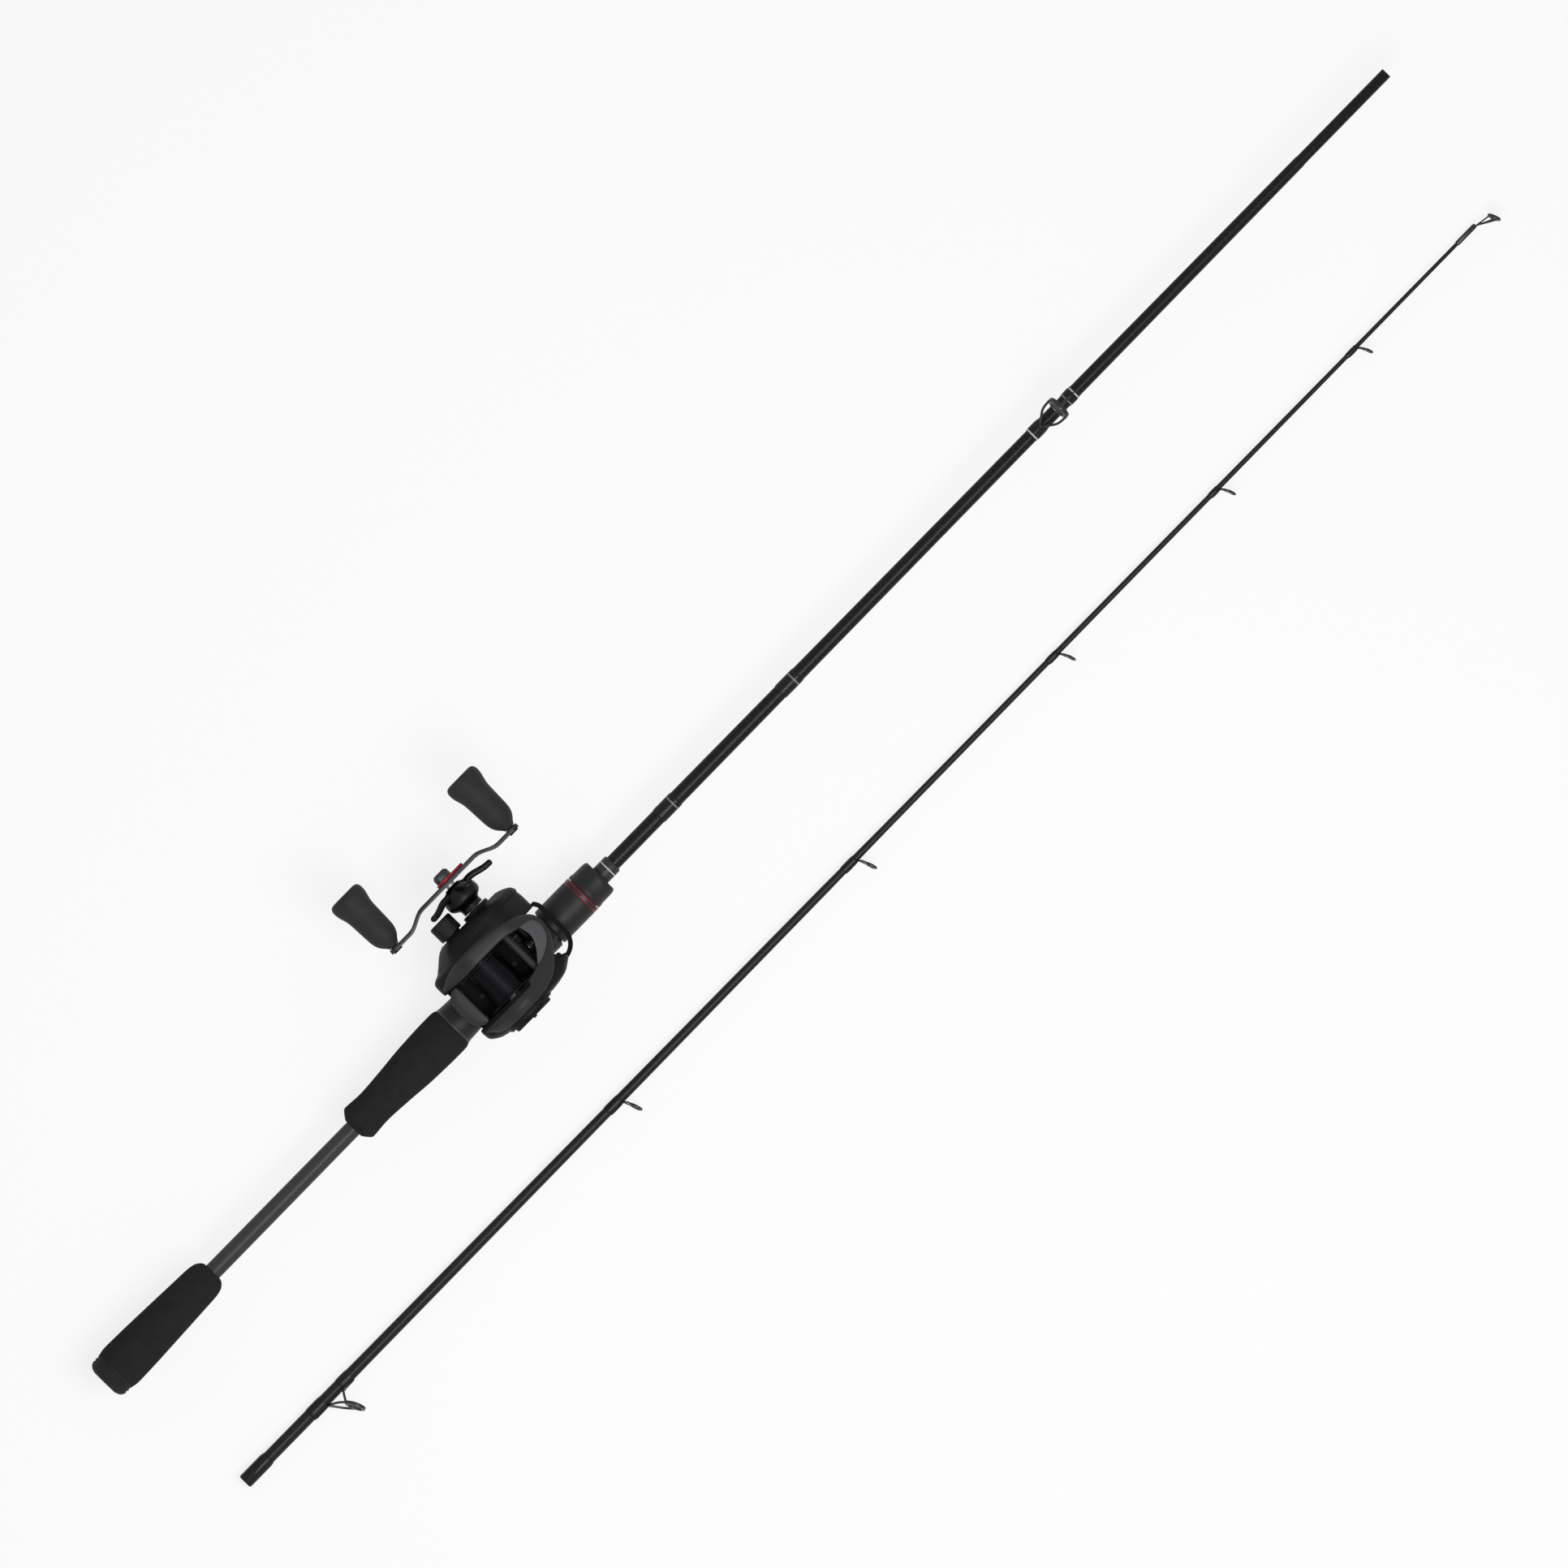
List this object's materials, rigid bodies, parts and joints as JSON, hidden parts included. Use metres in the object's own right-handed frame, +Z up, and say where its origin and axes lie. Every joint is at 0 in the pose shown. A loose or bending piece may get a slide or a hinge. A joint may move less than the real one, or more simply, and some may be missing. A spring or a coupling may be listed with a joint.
{
  "type": "fishing rod and reel",
  "caption": "Two-piece casting rod with its tip section laid alongside, carrying a low-profile baitcasting reel with a double-grip crank, star drag, level wind and thumb bar.",
  "frame": {"origin": "centre of the flat end of the butt cap", "axes": "+X along the rod towards its tip, +Y towards the crank, +Z up, out of the reel's top; the picture looks down -Z"},
  "size_m": [1.0428, 0.214, 0.0821],
  "materials": {
    "blank": "epoxy-coated carbon tube, satin gloss",
    "cap_rubber": "matte",
    "foam": "matte closed-cell foam",
    "seat": "soft-touch",
    "core_foam": "rigid foam",
    "red_anodised": "red anodised",
    "check_rubber": "satin",
    "thread_wrap": "thread under clear epoxy",
    "guide_steel": "dark chrome",
    "guide_ceramic": "polished",
    "steel": "turned",
    "frame_paint": "graphite-filled, satin",
    "cover_plastic": "satin",
    "plate_grey": "bare printed plate",
    "magnet_holder": "moulded",
    "bar_grey": "satin",
    "gear_brass": "machined",
    "gear_plastic": "moulded",
    "drag_fibre": "woven fibre",
    "arm_metal": "dark anodised",
    "knob_rubber": "soft-touch",
    "spool_metal": "black anodised",
    "rotor_metal": "bare"
  },
  "bodies": {
    "rod": {"butt_blank": "blank", "butt_cap": "cap_rubber", "rear_grip": "foam", "main_grip": "foam", "seat_ring": "seat", "reel_seat": "seat", "seat_arbor": "core_foam", "winding_check": "check_rubber", "decorative_wraps": "thread_wrap", "stripper_frame": "guide_steel", "stripper_ring": "guide_ceramic", "stripper_wraps": "thread_wrap", "reel_foot": "steel", "reel_frame": "frame_paint", "reel_screws": "steel", "crank_side_cover": "cover_plastic", "palm_side_cover": "cover_plastic", "nose_cover": "cover_plastic", "label_plate": "plate_grey", "ball_bearings": "steel", "anti_reverse_bearing": "steel", "clutch_yoke": "steel", "brake_magnets": "magnet_holder", "worm_guard": "steel", "guide_rail": "bar_grey"},
    "hood": {"sliding_hood": "seat", "hood_trim_ring": "red_anodised"},
    "lock_nut": {"lock_nut": "seat"},
    "tip_section": {"tip_blank": "blank", "tip_wraps": "thread_wrap", "tip_guide_frames": "guide_steel", "tip_guide_rings": "guide_ceramic", "tip_top": "guide_steel", "tip_top_ring": "guide_ceramic"},
    "crank": {"drive_shaft": "steel", "main_gear": "gear_brass", "wind_drive_gear": "gear_plastic", "drag_washers": "drag_fibre", "anti_reverse_sleeve": "steel", "spring_washers": "steel", "crank_arm": "arm_metal", "crank_plate": "red_anodised", "crank_nut": "arm_metal", "knob_spindles": "steel"},
    "star": {"star_drag": "arm_metal"},
    "rear_grip_knob": {"rear_knob": "knob_rubber"},
    "front_grip_knob": {"front_knob": "knob_rubber"},
    "spool_set": {"spool": "spool_metal", "spool_shaft": "steel", "brake_rotor": "rotor_metal", "pinion_gear": "gear_brass"},
    "worm_set": {"worm_shaft": "steel", "worm_gear": "gear_plastic"},
    "carriage": {"line_guide": "cover_plastic", "line_guide_ring": "guide_ceramic", "pawl": "gear_brass"},
    "thumb": {"thumb_bar": "bar_grey"},
    "cast_control": {"cast_control_knob": "arm_metal"},
    "dial": {"brake_dial": "cover_plastic"}
  },
  "joints": [
    {"name": "crank_turn", "type": "hinge", "parent": "rod", "child": "crank", "pos_m": [0.34, 0, 0.02703], "axis": [0, 1, 0], "continuous": true},
    {"name": "spool_spin", "type": "hinge", "parent": "rod", "child": "spool_set", "pos_m": [0.3206, 0, 0.029], "axis": [0, 1, 0], "continuous": true},
    {"name": "worm_spin", "type": "hinge", "parent": "rod", "child": "worm_set", "pos_m": [0.35, 0, 0.01667], "axis": [0, 1, 0], "continuous": true},
    {"name": "line_guide_slide", "type": "slide", "parent": "rod", "child": "carriage", "axis": [0, 1, 0], "range_m": [-0.009, 0.009]},
    {"name": "star_drag_turn", "type": "hinge", "parent": "crank", "child": "star", "pos_m": [0.34, 0, 0.02703], "axis": [0, 1, 0], "range_deg": [-180, 180]},
    {"name": "rear_knob_spin", "type": "hinge", "parent": "crank", "child": "rear_grip_knob", "pos_m": [0.293, 0, 0.02703], "axis": [0, 1, 0], "continuous": true},
    {"name": "front_knob_spin", "type": "hinge", "parent": "crank", "child": "front_grip_knob", "pos_m": [0.387, 0, 0.02703], "axis": [0, 1, 0], "continuous": true},
    {"name": "cast_control_turn", "type": "hinge", "parent": "rod", "child": "cast_control", "pos_m": [0.3206, 0, 0.029], "axis": [0, 1, 0], "range_deg": [-180, 180]},
    {"name": "brake_dial_turn", "type": "hinge", "parent": "rod", "child": "dial", "pos_m": [0.3206, 0, 0.029], "axis": [0, -1, 0], "range_deg": [0, 270]},
    {"name": "thumb_bar_press", "type": "slide", "parent": "rod", "child": "thumb", "axis": [0, 0, -1], "range_m": [0, 0.0045], "stiffness_N_per_m": 300},
    {"name": "hood_slide", "type": "slide", "parent": "rod", "child": "hood", "axis": [1, 0, 0], "range_m": [0, 0.006]},
    {"name": "lock_nut_turn", "type": "hinge", "parent": "hood", "child": "lock_nut", "pos_m": [0.3965, 0, 0], "axis": [1, 0, 0], "range_deg": [0, 1441]},
    {"name": "tip_section_lift", "type": "slide", "parent": "rod", "child": "tip_section", "axis": [0, 0, 1], "range_m": [0, 0.12]}
  ],
  "couplings": [
    {"joint": "spool_spin", "follows": "crank_turn", "ratio": -6.8},
    {"joint": "worm_spin", "follows": "crank_turn", "ratio": -1.4},
    {"joint": "lock_nut_turn", "follows": "hood_slide", "rad_per_m": 4188.8}
  ]
}
